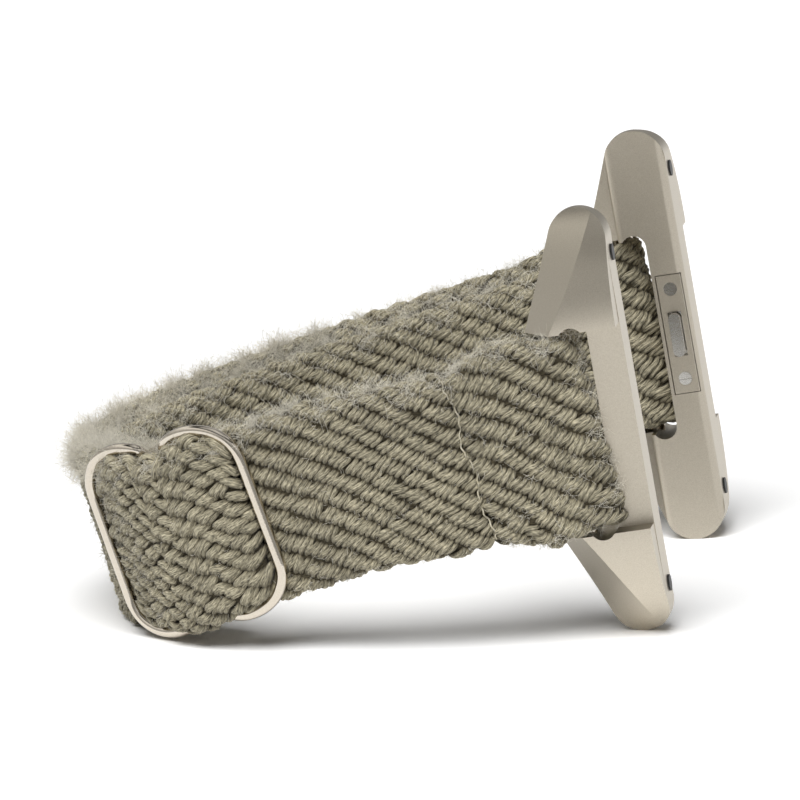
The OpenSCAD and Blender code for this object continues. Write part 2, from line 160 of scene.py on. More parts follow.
def along(q, r, length):
    """Place and heading after an arc that starts at q: x, y and heading."""
    turn = math.degrees(length / r)
    a, b = math.radians(q[2]), math.radians(q[2] - turn)
    return q[0] + r * (math.sin(a) - math.sin(b)), q[1] + r * (math.cos(b) - math.cos(a)), q[2] - turn


CORNER_LEN = CORNER_R * math.radians(CORNER_TURN)
NEAR_END = along(START, NEAR_R, NEAR_LEN)
CORNER_END = along(NEAR_END, CORNER_R, CORNER_LEN)
BEND_LEN = BEND_R * math.radians(CORNER_END[2] - FAR_HEADING)
BEND_END = along(CORNER_END, BEND_R, BEND_LEN)
FAR_START_S = NEAR_LEN + CORNER_LEN + BEND_LEN
TOTAL_S = FAR_START_S + FAR_LEN


def path(s):
    """Place and heading at s along the middle line of the outer layer."""
    if s <= NEAR_LEN:
        return along(START, NEAR_R, s)
    if s <= NEAR_LEN + CORNER_LEN:
        return along(NEAR_END, CORNER_R, s - NEAR_LEN)
    if s <= FAR_START_S:
        return along(CORNER_END, BEND_R, s - NEAR_LEN - CORNER_LEN)
    return along(BEND_END, FAR_R, s - FAR_START_S)


def inward(heading):
    """Towards the inside of the loop."""
    return np.array([math.sin(math.radians(heading)), -math.cos(math.radians(heading)), 0.0])


def spot(s, depth):
    x, y, heading = path(s)
    return np.array([x, y, 0.0]) + depth * inward(heading)


NEAR_BAR = spot(0, BAR_OFFSET) - [0, 0, BAR_DROP]
FAR_BAR = spot(TOTAL_S, BAR_OFFSET) - [0, 0, BAR_DROP]
NEAR_CENTRE = spot(0, NEAR_R)


def arc_angle(s):
    return math.radians(START[2] + 90) - s / NEAR_R


def slider_angle(u):
    return arc_angle(SLIDER_S) + u * math.cos(math.radians(SLIDER_LEAN)) / NEAR_R


def slider_up(u):
    a, lean = slider_angle(u), math.radians(SLIDER_LEAN)
    return np.array([math.sin(lean) * math.sin(a), -math.sin(lean) * math.cos(a), math.cos(lean)])


def slider_point(u, z, level):
    """A point of the slider by its place along the webbing, across it, and above it."""
    lean = math.radians(SLIDER_LEAN)
    a = arc_angle(SLIDER_S) + (u * math.cos(lean) - z * math.sin(lean)) / NEAR_R
    r = NEAR_R + level
    return NEAR_CENTRE + [r * math.cos(a), r * math.sin(a), u * math.sin(lean) + z * math.cos(lean)]


def lean_matrix(degrees):
    return np.array(Matrix.Rotation(math.radians(degrees), 3, "Y"))


def to_row(points):
    """Points of the loop's plane, in millimetres, to the row frame, in metres."""
    flat = np.asarray(points, float).reshape(-1, 3)
    return (flat @ lean_matrix(-LOOP_LEAN).T + LOOP_PLACE) * MM


def unit(v):
    return v / np.maximum(np.linalg.norm(v, axis=-1, keepdims=True), 1e-9)


class Ribbon:
    """A length of webbing by stations of (place, outward, up, width, thickness)."""

    def __init__(self, stations, relief=None):
        self.place = np.array([st[0] for st in stations])
        self.out = np.array([st[1] for st in stations])
        self.up = np.array([st[2] for st in stations])
        self.width = np.array([st[3] for st in stations])
        self.thick = np.array([st[4] for st in stations])
        step = np.linalg.norm(np.diff(self.place, axis=0), axis=1)
        self.t = np.concatenate([[0.0], np.cumsum(step)])
        self.length = self.t[-1]
        self.half_round = 0.5 * (2 * (np.median(self.width) - LAYER_T) + math.pi * LAYER_T)
        self.relief = relief

    def between(self, values, t):
        return np.stack([np.interp(t, self.t, values[:, k]) for k in range(3)], axis=-1)

    def at(self, t, q, lift, face=0):
        """Point and normal at t along the webbing and q round its section, which starts
        in the middle of the outer face, or of the inner face where face is 1."""
        t, q, lift = np.broadcast_arrays(t, q, lift)
        place, out = self.between(self.place, t), unit(self.between(self.out, t))
        up = self.between(self.up, t)
        up = unit(up - out * np.sum(out * up, axis=-1, keepdims=True))
        width, thick = np.interp(t, self.t, self.width), np.interp(t, self.t, self.thick)
        r = thick / 2
        flat = width / 2 - r
        half = 2 * flat + math.pi * r
        a = q / self.half_round * half + face * half
        a = (a + half) % (2 * half) - half
        side, a = np.sign(a), np.abs(a)
        turn = np.clip((a - flat) / r, 0, math.pi)
        beyond = np.where(turn < math.pi, flat + r * np.sin(turn), 2 * flat + math.pi * r - a)
        across = np.where(a < flat, a, beyond)
        normal = np.cos(turn)[..., None] * out + (side * np.sin(turn))[..., None] * up
        centre = place + (side * across)[..., None] * up + (r * np.cos(turn))[..., None] * out
        if self.relief is not None:
            lift = lift + self.relief(t)
        return centre + lift[..., None] * normal, normal


# Stations

def twist_up(u):
    turn = math.radians(ADAPTER_TWIST * max(0.0, 1 - u / END_LEN))
    return np.array([math.sin(turn), 0, math.cos(turn)])


def ease(a, b, u):
    return a + (b - a) * min(1.0, max(0.0, u / END_LEN))


def leg(near, u, depth, side, width, sink=0.0):
    s = u if near else TOTAL_S - u
    drop = -BAR_DROP * max(0.0, 1 - (1.5 * u / END_LEN) ** 2) - ease(0, sink, u)
    flare = END_FLARE * math.sin(math.pi * u / END_LEN) ** 2
    return (spot(s, depth) + [0, 0, drop], side * inward(path(s)[2]), twist_up(u),
            ease(END_W, width, u) + flare, ease(LEG_T, LAYER_T, u))


def hairpin(near, outer_w, inner_w):
    """Stations from the outer leg round the bar to the inner leg."""
    bar = NEAR_BAR if near else FAR_BAR
    heading = path(0 if near else TOTAL_S)[2]
    sense = 1 if near else -1
    outer = [leg(near, u, 0, -1, outer_w) for u in np.linspace(END_LEN, 0, 20)]
    turn = []
    for k in np.linspace(0, 1, 19)[1:-1]:
        a = math.radians(heading + 90 + sense * 180 * k)
        o = np.array([math.cos(a), math.sin(a), 0])
        turn.append((bar + BAR_OFFSET * o, o, twist_up(0), END_W, LEG_T))
    inner = [leg(near, u, ease(2 * BAR_OFFSET, LAYER_STEP, u), 1, inner_w, 0 if near else INNER_SINK)
             for u in np.linspace(0, END_LEN, 20)]
    return outer + turn + inner


def run_width(s):
    """The slider's wires draw the near run in where they cross its edges."""
    squeezed = math.exp(-((s - SLIDER_S) / SQUEEZE_SPREAD) ** 2)
    k = min(1.0, max(0.0, (s - SLIDER_S) / (NEAR_LEN + 3 - SLIDER_S)))
    return RUN_W + (STRAP_W - RUN_W) * k - SQUEEZE * squeezed


def rise(s):
    """The near run stands a little higher between its seam and the slider."""
    k = min(1.0, max(0.0, (s - SEAM_S) / (RISE_END - SEAM_S)))
    return RISE * math.sin(math.pi * k) ** 2


def runs(s0, s1, depth, side, width_of, sink=0.0, step=0.4):
    count = max(2, int(abs(s1 - s0) / step))
    return [(spot(s, depth) + [0, 0, rise(s) - sink], side * inward(path(s)[2]), np.array([0.0, 0, 1]),
             width_of(s), LAYER_T) for s in np.linspace(s0, s1, count)]


INNER_END_S = SLIDER_S + SEWN_LEG_L + RETURN_L
near_part = hairpin(True, RUN_W, RUN_W)[::-1]
near_run_part = runs(END_LEN, NEAR_LEN, 0, -1, run_width)[1:]
bend_part = runs(NEAR_LEN, FAR_START_S, 0, -1, run_width)[1:]
far_part = runs(FAR_START_S, TOTAL_S - END_LEN, 0, -1, run_width)[1:]
far_end_part = hairpin(False, STRAP_W, INNER_W)[1:]
inner_far_part = runs(TOTAL_S - END_LEN, FAR_START_S, LAYER_STEP, 1, lambda s: INNER_W, INNER_SINK)[1:]
inner_bend_part = runs(FAR_START_S, INNER_END_S, LAYER_STEP, 1, lambda s: INNER_W, INNER_SINK)[1:]
parts = [near_part, near_run_part, bend_part, far_part, far_end_part, inner_far_part, inner_bend_part]


def seam_groove(t):
    return -GROOVE * np.exp(-((t - seam_t) / GROOVE_SPREAD) ** 2)


webbing = Ribbon(sum(parts, []), seam_groove)
ends = np.cumsum([len(p) for p in parts]) - 1
marks = [0.0] + [float(webbing.t[k]) for k in ends]
seam_t = marks[1] + SEAM_S - END_LEN


# Over the slider's bar, and the end sewn round that bar

def lobe_edge(u, inside):
    """Half the slider's width at u, to a line that lies inside the wire's middle."""
    middle = LOBE_U if u > 0 else LEFT_LOBE_U
    k = min(1.0, abs(abs(u) - middle) / (SLIDER_HALF_L - middle - inside))
    return SLIDER_HALF_W - LOBE_H + (LOBE_H - inside) * math.sqrt(1 - k * k)


# Cloth over the bar: its swelling, its half widths, the dent at the waist and the belly opposite it
FLAT_T = 0.25
SWELL = 1.3
CLEAR = 0.12
LEAST_HALF = 4.4
DENT_HALF = 6.0
DENT = 0.6
BELLY_HALF = 7.3
BELLY_U = 2.7


def over_bar_station(k):
    """The cloth swells between the lobes and over the bar, and lies flat beside the left wire."""
    u = k * (SLIDER_HALF_L - WIRE_R - CLEAR)
    stretch = RIGHT_STRETCH if u > 0 else 1.0
    full = 0.4 if k > 0 else 1.35
    thick = FLAT_T + SWELL * max(0.0, math.cos(math.pi / 2 * k)) ** full
    inside = max(lobe_edge(u, WIRE_R + CLEAR), LEAST_HALF)
    top = DENT_HALF - DENT * (u / WAIST_U) ** 2 if abs(u) < WAIST_U else inside
    bottom = inside + (BELLY_HALF - inside) * math.sqrt(max(0.0, 1 - (u / BELLY_U) ** 2))
    a = slider_angle(u * stretch)
    middle = slider_point(u * stretch, (top - bottom) / 2, LAYER_T / 2 + CLEAR + thick / 2)
    return middle, np.array([math.cos(a), math.sin(a), 0]), slider_up(u), top + bottom, thick


over_bar = Ribbon([over_bar_station(k) for k in np.linspace(0.985, -0.985, 61)])


def sewn_stations():
    lean = math.radians(SLIDER_LEAN)
    a0 = slider_angle(0)
    radial = np.array([math.cos(a0), math.sin(a0), 0])
    ahead = np.array([-math.sin(a0) * math.cos(lean), math.cos(a0) * math.cos(lean), math.sin(lean)])

    def sewn_leg(k, side):
        u = -SEWN_LEG_L * k
        a = slider_angle(u)
        outward = side * np.array([math.cos(a), math.sin(a), 0])
        return slider_point(u, 0, BAR_LEVEL + side * SEWN_OFFSET), outward, slider_up(u), SEWN_W, SEWN_T

    turn = []
    for f in np.linspace(0, math.pi, 15):
        o = math.cos(f) * radial + math.sin(f) * ahead
        turn.append((slider_point(0, 0, BAR_LEVEL) + SEWN_OFFSET * o, o, slider_up(0), SEWN_W, SEWN_T))
    return ([sewn_leg(k, 1) for k in np.linspace(1, 0, 9)[:-1]] + turn
            + [sewn_leg(k, -1) for k in np.linspace(0, 1, 9)[1:]])


sewn_end = Ribbon(sewn_stations())


def return_station(s):
    k = min(1.0, max(0.0, (INNER_END_S - s) / RETURN_L))
    depth = LAYER_STEP + (-(BAR_LEVEL + SEWN_OFFSET) - LAYER_STEP) * k
    return (spot(s, depth), inward(path(s)[2]), np.array([0.0, 0, 1]), INNER_W + (SEWN_W - INNER_W) * k,
            LAYER_T + (SEWN_T - LAYER_T) * k)


return_layer = Ribbon([return_station(s) for s in np.linspace(INNER_END_S + 0.6, SLIDER_S + 2.6, 16)])


# Meshes

def add_object(name, data):
    piece = bpy.data.objects.new(name, data)
    bpy.context.scene.collection.objects.link(piece)
    return piece


def add_mesh(name, points, quads, material, yarn=None, uv=None):
    """A smooth mesh from points in the loop's plane. yarn holds the painted shade level, tone and fray of
    each point.
    """
    mesh = bpy.data.meshes.new(name)
    placed = to_row(points)
    placed[:, 2] = np.maximum(placed[:, 2], 0)
    mesh.from_pydata(placed.tolist(), [], np.asarray(quads).tolist())
    mesh.polygons.foreach_set("use_smooth", [True] * len(mesh.polygons))
    if yarn is not None:
        layer = mesh.color_attributes.new("yarn", "FLOAT_COLOR", "POINT")
        rgba = np.ones((len(mesh.vertices), 4), np.float32)
        rgba[:, :3] = yarn
        layer.data.foreach_set("color", rgba.ravel())
    if uv is not None:
        loops = np.zeros(len(mesh.loops), np.int32)
        mesh.loops.foreach_get("vertex_index", loops)
        layer = mesh.uv_layers.new(name="fibre")
        layer.data.foreach_set("uv", np.asarray(uv, np.float32)[loops].ravel())
    mesh.materials.append(material)
    mesh.update()
    return add_object(name, mesh)


def ring_quads(tubes, rings, sides, closed=False):
    """Quads of many tubes whose points run tube by tube, ring by ring."""
    last = rings if closed else rings - 1
    t, r, k = np.meshgrid(np.arange(tubes), np.arange(last), np.arange(sides), indexing="ij")
    base = t * rings * sides
    here, ahead = base + r * sides, base + (r + 1) % rings * sides
    nxt = (k + 1) % sides
    return np.stack([here + k, here + nxt, ahead + nxt, ahead + k], axis=-1).reshape(-1, 4)


def merged(parts_list):
    """Joins (points, quads, yarn, uv) tuples into one."""
    points, quads, yarn, uv, base = [], [], [], [], 0
    for p, f, c, w in parts_list:
        points.append(p)
        quads.append(f + base)
        yarn.append(c)
        uv.append(w)
        base += len(p)
    return np.concatenate(points), np.concatenate(quads), np.concatenate(yarn), np.concatenate(uv)


def core(ribbon, t0, t1, sink):
    """The ground of the cloth under its stitches, one closed sleeve."""
    sides = 48
    rings = max(4, int((t1 - t0) / 0.45))
    t = np.linspace(t0, t1, rings)[:, None]
    q = (np.arange(sides) / sides * 2 - 1)[None, :] * ribbon.half_round
    points, _ = ribbon.at(t, q, -sink)
    for end in (0, -1):
        points[end] = points[end].mean(axis=0)
    points = points.reshape(-1, 3)
    # A red of 0.25 paints the ground between the stitches in shade.
    yarn = np.tile([0.25, 0.3, 0.0], (len(points), 1))
    uv = np.stack([np.broadcast_to(x, (rings, sides)).ravel() for x in (t, q)], axis=1)
    return points, ring_quads(1, rings, sides), yarn, uv


def lattice(t0, t1, q_limit, step, pitch, angle):
    """Places of stitches in ribs that run at an angle to the webbing."""
    a = math.radians(angle)
    reach = int((t1 - t0 + 2 * q_limit) / min(step, pitch)) + 4
    middle = (t0 + t1) / 2
    first = round(middle * math.cos(a) / pitch)
    first_rib = round(-middle * math.sin(a) / step)
    count = np.arange(-reach, reach)
    rib, place = np.meshgrid(count + first_rib, count + first, indexing="ij")
    shift = (rib * 0.46) % 1.0
    x = (place + shift) * pitch
    y = rib * step
    t = x * math.cos(a) - y * math.sin(a)
    q = x * math.sin(a) + y * math.cos(a)
    keep = (t >= t0) & (t < t1) & (np.abs(q) <= q_limit)
    return t[keep], q[keep]


def tufts(ribbon, t, q, face, rib, length, lean, strands, strand_step, strand_r, fan, sink=0.45, crest=0.26,
          spread=8.0, rings=9, sides=6):
    """Plump tufts at places t, q. Each strand of a tuft arches over the rib and dives at both ends."""
    n = len(t)
    order = np.arange(strands) - (strands - 1) / 2
    share = order / max(1.0, strands / 2)
    turn = rng.normal(0, spread, n)[:, None]
    row = np.radians(rib + 0.6 * turn)
    slant = np.radians(rib + lean + turn + fan * order + rng.normal(0, 3.5, (n, strands)))[..., None]
    size = length * rng.uniform(0.88, 1.12, (n, 1)) * np.sqrt(1 - 0.4 * share ** 2)
    size = (size * rng.uniform(0.92, 1.08, (n, strands)))[..., None]
    stray = rng.normal(0, 0.06, (2, n, 1))
    t = (t[:, None] + stray[0] + order * strand_step * np.cos(row))[..., None]
    q = (q[:, None] + stray[1] + order * strand_step * np.sin(row))[..., None]
    x = np.linspace(-0.5, 0.5, rings)[None, None, :]
    sway = 0.07 * np.sin(2 * math.pi * x)
    arch = np.maximum(0, 1 - (2.02 * x) ** 2) ** 0.62
    st = t + size * x * np.cos(slant) - sway * np.sin(slant)
    sq = q + size * x * np.sin(slant) + sway * np.cos(slant)
    top = crest * (1 - 0.5 * share ** 2) + 0.08 * share
    top = top + rng.normal(0, 0.05, (n, 1)) + rng.normal(0, 0.025, (n, strands))
    lift = -sink + (top[..., None] - strand_r + sink) * arch
    spine, normal = ribbon.at(st, sq, lift, face)
    forward = unit(np.gradient(spine, axis=2))
    side = unit(np.cross(normal, forward))
    over = np.cross(forward, side)
    ring = np.linspace(0, 2 * math.pi, sides, endpoint=False) + math.pi / 2
    swell = (0.55 + 0.45 * arch)[..., None] * strand_r
    across = swell * np.cos(ring)
    rise = swell * np.sin(ring)
    points = (spine[..., None, :] + across[..., None] * side[..., None, :]
              + rise[..., None] * over[..., None, :])
    # Painted shade: each strand darkens towards its lower side and its diving ends, and its top is painted
    # lightest.
    above = (np.sin(ring) + 1) / 2
    painted_shading = np.broadcast_to(arch[..., None] * (0.12 + 0.88 * above), points.shape[:-1])
    tone = 0.5 * rng.uniform(0, 1, (n, 1)) + 0.5 * rng.uniform(0, 1, (n, strands))
    tone = np.broadcast_to(tone[..., None, None], painted_shading.shape)
    yarn = np.stack([painted_shading, tone, np.zeros_like(painted_shading)], axis=-1).reshape(-1, 3)
    start = rng.uniform(0, 40, (2, n, strands))[..., None, None]
    uv_along = np.broadcast_to((size * x)[..., None], painted_shading.shape) + start[0]
    uv = np.stack([uv_along, np.broadcast_to(across, painted_shading.shape) + start[1]], axis=-1).reshape(-1, 2)
    return points.reshape(-1, 3), ring_quads(n * strands, rings, sides), yarn, uv


def rib_drift(t):
    """How far the near run's ribs lie above straight ones at t, and the change of their slope there."""
    s = END_LEN + t - marks[1]
    k = np.clip((s - FLAT_FROM) / FLAT_OVER, 0, 1)
    j = np.clip((END_FLAT_TO - s) / END_FLAT_OVER, 0, 1)
    end_run = np.maximum(0, END_FLAT_TO - END_FLAT_OVER - s)
    slider_run = np.maximum(0, s - FLAT_FROM - FLAT_OVER)
    shift = END_FLATTER * (END_FLAT_OVER * (j ** 3 - 0.5 * j ** 4) + end_run)
    shift -= FLATTER * (FLAT_OVER * (k ** 3 - 0.5 * k ** 4) + slider_run)
    slope = -END_FLATTER * (3 * j ** 2 - 2 * j ** 3) - FLATTER * (3 * k ** 2 - 2 * k ** 3)
    return shift, slope


TUFT = {"length": TUFT_L, "lean": TUFT_LEAN, "strands": STRANDS, "strand_step": STRAND_STEP,
        "strand_r": STRAND_R, "fan": FAN}


def weave(ribbon, t0, t1, face, q_limit, step=RIB_STEP, pitch=TUFT_PITCH, rib=RIB_ANGLE, drift=None,
          **kind):
    """Ribs of tufts over one face. Where drift shifts them, they come from a wider lattice."""
    t, q = lattice(t0, t1, q_limit + (DRIFT_ROOM if drift else 0), step, pitch, rib)
    if drift:
        shift, slope = drift(t)
        keep = np.abs(q + shift) <= q_limit
        t, q = t[keep], (q + shift)[keep]
        rib = np.degrees(np.arctan(math.tan(math.radians(rib)) + slope[keep]))[:, None]
    return tufts(ribbon, t, q, face, rib, **{**TUFT, **kind})


def hairs(ribbon, count, t0, t1, q0, q1, length, stand=0.6, radius=0.013):
    """Loose fibres that rise from the cloth and curl."""
    points_each, sides = 7, 3
    t, q = rng.uniform(t0, t1, count), rng.uniform(q0, q1, count)
    t, q = t + 0.42 * np.sin(2.0 * t + 1.3 * q), q + 0.3 * np.sin(2.6 * q + 0.9 * t)
    root, normal = ribbon.at(t, q, 0.0)
    wild = unit(rng.normal(0, 1, (count, 3)))
    heading = unit(normal * stand + wild)
    curl_axis = unit(rng.normal(0, 1, (count, 3)))
    curl = rng.uniform(-1.0, 1.0, count)[:, None]
    size = rng.uniform(*length, count)[:, None] / (points_each - 1)
    spine = [root]
    for _ in range(points_each - 1):
        spine.append(spine[-1] + heading * size)
        heading = unit(heading + curl * np.cross(curl_axis, heading) + rng.normal(0, 0.16, (count, 3)))
    spine = np.stack(spine, axis=1)
    forward = unit(np.gradient(spine, axis=1))
    side = unit(np.cross(forward, curl_axis[:, None] + 0.01))
    over = np.cross(forward, side)
    ring = np.linspace(0, 2 * math.pi, sides, endpoint=False)
    taper = radius * np.linspace(1, 0.45, points_each)[None, :, None]
    points = (spine[:, :, None] + (taper * np.cos(ring))[..., None] * side[:, :, None]
              + (taper * np.sin(ring))[..., None] * over[:, :, None])
    tone = np.broadcast_to(rng.uniform(0, 1, count)[:, None, None], points.shape[:3])
    yarn = np.stack([np.ones_like(tone), tone, np.ones_like(tone)], axis=-1).reshape(-1, 3)
    uv = np.zeros((len(yarn), 2))
    return points.reshape(-1, 3), ring_quads(count, points_each, sides), yarn, uv


# Materials

FINE_GRAIN = 0.00002


def setting(node, values):
    for entry, value in values.items():
        node.inputs[entry].default_value = value


def nodes_of(name):
    material = bpy.data.materials.new(name)
    material.use_nodes = True
    tree = material.node_tree
    return material, tree, tree.nodes["Principled BSDF"]


def link(tree, a, output, b, entry):
    tree.links.new(a.outputs[output], b.inputs[entry])


def ramp(tree, stops):
    node = tree.nodes.new("ShaderNodeValToRGB")
    elements = node.color_ramp.elements
    while len(elements) < len(stops):
        elements.new(0.5)
    for element, (at, colour) in zip(elements, stops):
        element.position = at
        element.color = (*colour, 1)
    return node


def grey_ramp(tree, stops):
    return ramp(tree, [(at, (level, level, level)) for at, level in stops])


def object_noise(tree, scale, detail=2.0):
    """Noise that stays with the object."""
    place = tree.nodes.new("ShaderNodeTexCoord")
    noise = tree.nodes.new("ShaderNodeTexNoise")
    setting(noise, {"Scale": scale, "Detail": detail})
    link(tree, place, "Object", noise, "Vector")
    return noise


def mapped(tree, source, output, low, high, start=0.0, end=1.0):
    """A value from start to end, drawn out to run from low to high."""
    node = tree.nodes.new("ShaderNodeMapRange")
    setting(node, {"From Min": start, "From Max": end, "To Min": low, "To Max": high})
    link(tree, source, output, node, "Value")
    return node


def computed(tree, operation, one, one_socket, other, other_socket):
    node = tree.nodes.new("ShaderNodeMath")
    node.operation = operation
    link(tree, one, one_socket, node, 0)
    link(tree, other, other_socket, node, 1)
    return node


def bumped(tree, source, shader, strength, distance):
    bump = tree.nodes.new("ShaderNodeBump")
    setting(bump, {"Strength": strength, "Distance": distance})
    link(tree, source, "Fac", bump, "Height")
    link(tree, bump, "Normal", shader, "Normal")


def yarn_material(name, painted_shade, low, high, streak):
    """Spun wool: painted shade between the stitches and under each ply, lit tops painted lighter, streaked
    along each ply, uneven from ply to ply.
    """
    material, tree, shader = nodes_of(name)
    new = tree.nodes.new
    attribute = new("ShaderNodeAttribute")
    attribute.attribute_name = "yarn"
    split = new("ShaderNodeSeparateColor")
    link(tree, attribute, "Color", split, "Color")
    # Painted shade and highlight: red runs from shaded grooves and ply undersides to the lit tops of the
    # plies.
    colour = ramp(tree, [(0.0, painted_shade), (0.45, low), (1.0, high)])
    link(tree, split, "Red", colour, "Fac")
    fibre = new("ShaderNodeUVMap")
    fibre.uv_map = "fibre"
    stretch = new("ShaderNodeMapping")
    setting(stretch, {"Scale": (3.2, 13.0, 1.0)})
    link(tree, fibre, "UV", stretch, "Vector")
    fine = new("ShaderNodeTexNoise")
    setting(fine, {"Scale": 1.0, "Detail": 3.0})
    link(tree, stretch, "Vector", fine, "Vector")
    streaks = mapped(tree, fine, "Fac", 1 - streak * 0.55, 1 + streak * 0.45, 0.3, 0.7)
    tone = mapped(tree, split, "Green", 0.84, 1.16)
    patches = mapped(tree, object_noise(tree, 260.0), "Fac", 0.88, 1.1, 0.3, 0.7)
    gain = computed(tree, "MULTIPLY", streaks, "Result", tone, "Result")
    gain = computed(tree, "MULTIPLY", gain, "Value", patches, "Result")
    scaled = new("ShaderNodeVectorMath")
    scaled.operation = "SCALE"
    link(tree, colour, "Color", scaled, 0)
    link(tree, gain, "Value", scaled, "Scale")
    link(tree, scaled, "Vector", shader, "Base Color")
    bumped(tree, fine, shader, 0.8, 0.00008)
    setting(shader, {"Roughness": 0.85, "Specular IOR Level": 0.25, "Sheen Weight": 0.15,
                     "Sheen Roughness": 0.5})
    return material


def metal_material(name, colour, dull, roughness, grain, scale):
    """Plated metal with a fine grain."""
    material, tree, shader = nodes_of(name)
    fine = object_noise(tree, scale, 4.0)
    tint = ramp(tree, [(0.3, dull), (0.7, colour)])
    link(tree, fine, "Fac", tint, "Fac")
    link(tree, tint, "Color", shader, "Base Color")
    rough = mapped(tree, fine, "Fac", roughness * 0.8, roughness * 1.25)
    link(tree, rough, "Result", shader, "Roughness")
    bumped(tree, fine, shader, grain, FINE_GRAIN)
    setting(shader, {"Metallic": 1.0})
    return material


def plain_material(name, dark, light, roughness, scale, transmission=0.0):
    """Moulded or drawn plastic with slight mottling."""
    material, tree, shader = nodes_of(name)
    fine = object_noise(tree, scale)
    tint = ramp(tree, [(0.3, dark), (0.7, light)])
    link(tree, fine, "Fac", tint, "Fac")
    link(tree, tint, "Color", shader, "Base Color")
    bumped(tree, fine, shader, 0.2, FINE_GRAIN)
    setting(shader, {"Roughness": roughness, "Transmission Weight": transmission})
    return material


# Webbing colours: painted shade in the grooves, a middle tone, and the painted light of the ply tops.
wool = yarn_material("webbing", (0.036, 0.027, 0.014), (0.128, 0.11, 0.07), (0.44, 0.4, 0.288), streak=1.5)
fluff = yarn_material("fluff", (0.5, 0.465, 0.38), (0.62, 0.58, 0.475), (0.84, 0.8, 0.69), streak=0.1)
polished = metal_material("polished_nickel", (0.7, 0.64, 0.55), (0.62, 0.56, 0.47), 0.12, 0.15, 9000.0)
satin = metal_material("satin_nickel", (0.62, 0.57, 0.48), (0.52, 0.47, 0.385), 0.4, 0.5, 14000.0)
bright = metal_material("bright_steel", (0.82, 0.81, 0.79), (0.72, 0.71, 0.69), 0.22, 0.15, 8000.0)
nylon = plain_material("black_nylon", (0.012, 0.012, 0.012), (0.03, 0.03, 0.03), 0.5, 6000.0)
clear = plain_material("seam_thread", (0.62, 0.56, 0.4), (0.85, 0.8, 0.66), 0.12, 3000.0, 0.3)


# Webbing pieces

def webbing_piece(name, body, meshes, nodes):
    points, quads, yarn, uv = merged(meshes)
    piece = add_mesh(name, points, quads, wool, yarn, uv)
    if body:
        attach(piece, body)
    if nodes:
        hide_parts(*nodes)
    return piece


def strap_cloth(name, t0, t1, nodes, both=False, drift=None):
    edge = webbing.half_round * 0.5
    meshes = [core(webbing, t0 - 0.2, t1 + 0.2, 0.17),
              weave(webbing, t0, t1, 0, edge if both else edge * 1.18, drift=drift)]
    if both:
        meshes.append(weave(webbing, t0, t1, 1, edge))
    return webbing_piece(name, "strap", meshes, nodes)


strap_cloth("near_end_webbing", marks[0], marks[1], ["near_end_loop"], drift=rib_drift)
strap_cloth("near_run_webbing", marks[1], marks[2], ["near_run"], both=True, drift=rib_drift)
strap_cloth("bend_webbing", marks[2], marks[3], ["bend_outer_layer"])
strap_cloth("far_run_webbing", marks[3], marks[4], ["far_outer_run"])
strap_cloth("far_end_webbing", marks[4], marks[5], ["far_end_loop"])
strap_cloth("far_inner_webbing", marks[5], marks[6], ["far_inner_run"])
strap_cloth("bend_inner_webbing", marks[6], marks[7], ["bend_inner_layer"])

webbing_piece(
    "over_bar_webbing", "slider",
    [core(over_bar, 0.0, over_bar.length, 0.12),
     weave(over_bar, 0.0, over_bar.length - 0.1, 0, 7.6, step=1.22, pitch=1.12, rib=36.0, length=1.9,
           lean=120.0, strand_step=0.3, strand_r=0.26, fan=3.5, spread=9.0, crest=0.4)],
    ["webbing_over_bar"])
webbing_piece(
    "slider_end_webbing", "slider",
    [core(sewn_end, 0.0, sewn_end.length, 0.12),
     weave(sewn_end, 0.0, sewn_end.length, 0, 7.4, strand_r=0.2, sink=0.2, crest=0.05)],
    ["slider_end_loop"])

return_cloth = webbing_piece(
    "return_webbing", None,
    [core(return_layer, 0.0, return_layer.length, 0.2),
     weave(return_layer, 0.0, return_layer.length, 0, 7.6, crest=0.08)],
    [])
blend_start = to_row(spot(INNER_END_S, LAYER_STEP))[0]
blend_end = to_row(spot(SLIDER_S + RETURN_L, LAYER_STEP))[0]
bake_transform(return_cloth)


# Loose fibres, thickest along the upper edges and round the bend

def fuzz_piece(name, body, meshes):
    points, quads, yarn, uv = merged(meshes)
    piece = add_mesh(name, points, quads, fluff, yarn, uv)
    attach(piece, body)
    return piece


EDGE_Q = webbing.half_round * 0.5
fuzz_piece("near_fuzz", "strap", [
    hairs(webbing, 2300, marks[1], marks[2] - 4, EDGE_Q - 1.3, EDGE_Q + 0.8, (0.6, 1.8), stand=0.4),
    hairs(webbing, 400, marks[1], marks[2] - 4, -EDGE_Q - 0.5, -EDGE_Q + 0.8, (0.3, 0.7)),
    hairs(webbing, 900, marks[1], marks[2] - 4, -EDGE_Q, EDGE_Q, (0.3, 0.9), stand=0.2),
])
fuzz_piece("near_end_fuzz", "strap", [
    hairs(webbing, 800, marks[0] + 7, marks[1], -EDGE_Q, EDGE_Q, (0.4, 1.3), stand=0.3),
    hairs(webbing, 1300, marks[0] + 5, marks[1], EDGE_Q - 1.0, EDGE_Q + 0.9, (0.6, 1.8), stand=0.5),
    hairs(webbing, 500, marks[0] + 5, marks[1], -EDGE_Q - 0.8, -EDGE_Q + 0.8, (0.5, 1.2), stand=0.5),
    hairs(webbing, 900, marks[0] + 7.5, marks[0] + 11, -EDGE_Q, EDGE_Q, (0.5, 1.3), stand=0.9),
])
